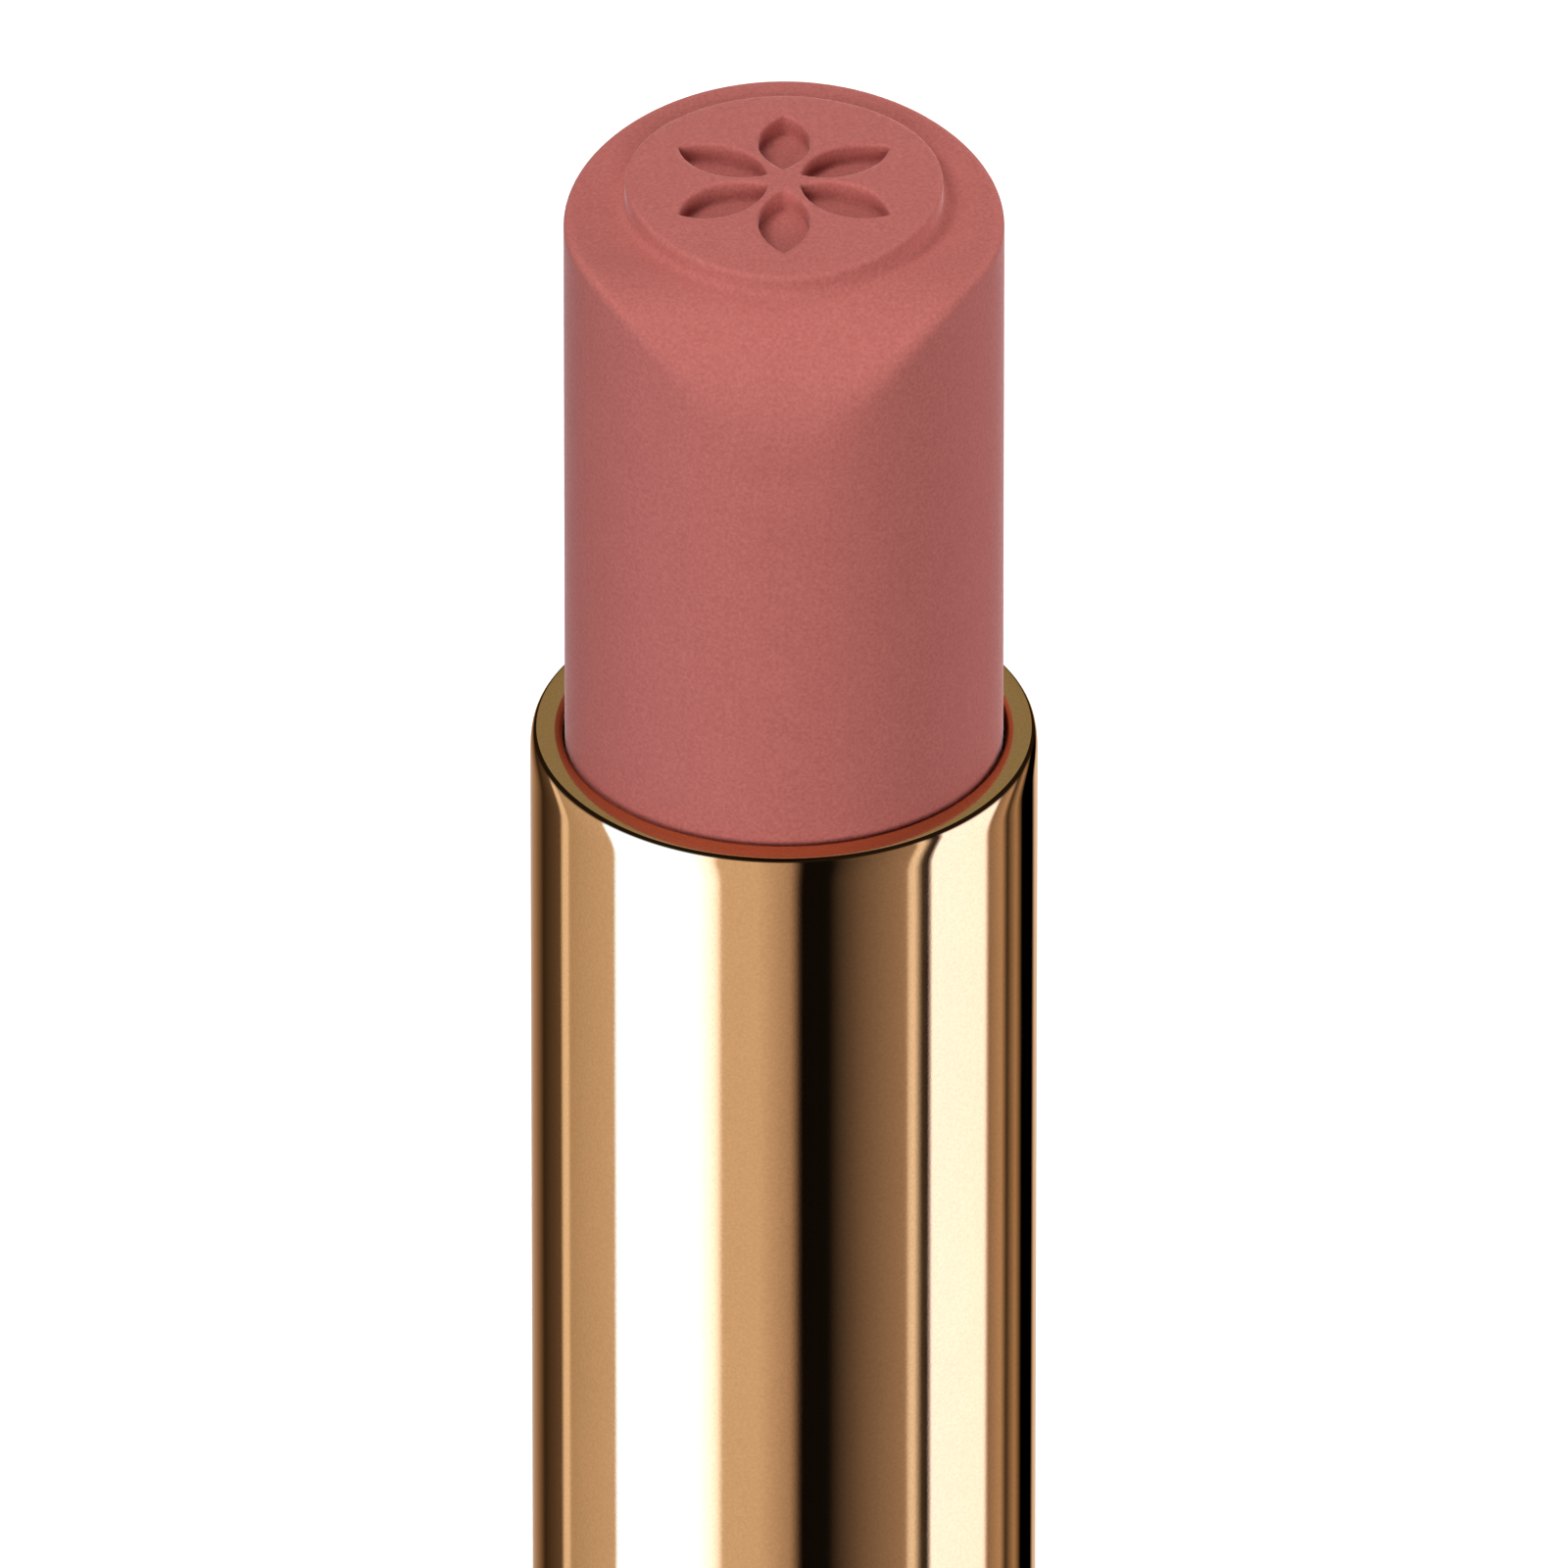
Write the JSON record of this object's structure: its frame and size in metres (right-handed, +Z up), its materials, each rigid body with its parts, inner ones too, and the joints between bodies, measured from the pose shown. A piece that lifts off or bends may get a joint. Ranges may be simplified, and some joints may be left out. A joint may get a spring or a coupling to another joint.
{
  "type": "lipstick case",
  "caption": "Slim round twist-up lipstick case with a polished gold tube, the matte rose bullet fully raised, its front slanted and its top embossed with a round medallion.",
  "frame": {"origin": "centre of the base's underside, on the axis", "axes": "+Z up along the case's axis; the bullet's slanted front faces -Y; +X is to the right seen from the front"},
  "size_m": [0.0195, 0.0194, 0.0821],
  "materials": {
    "lipstick": "matte waxy rose",
    "gold": "polished gold anodised",
    "cup": "satin moulded",
    "inner_metal": "satin drawn",
    "soft_ring": "greased silicone",
    "black_plastic": "fine satin moulded",
    "white_plastic": "moulded",
    "steel": "turned",
    "label": "blank paper-coated sticker"
  },
  "bodies": {
    "base": {"base_shell": "gold", "base_core": "black_plastic", "base_weight": "steel", "base_plug": "black_plastic", "shade_label": "label", "inner_tube": "inner_metal", "brake_ring": "soft_ring", "thrust_washer": "white_plastic"},
    "sleeve": {"outer_tube": "gold", "spiral_tube": "inner_metal", "collar_ring": "gold", "collar_bush": "black_plastic"},
    "carrier": {"holder_cup": "cup", "bullet": "lipstick"}
  },
  "joints": [
    {"name": "sleeve_twist", "type": "hinge", "parent": "base", "child": "sleeve", "pos_m": [0, 0, 0.026], "axis": [0, 0, 1], "range_deg": [0, 450]},
    {"name": "bullet_slide", "type": "slide", "parent": "base", "child": "carrier", "axis": [0, 0, 1], "range_m": [-0.02, 0]}
  ],
  "couplings": [
    {"joint": "bullet_slide", "follows": "sleeve_twist", "m_per_rad": -0.0025465}
  ]
}
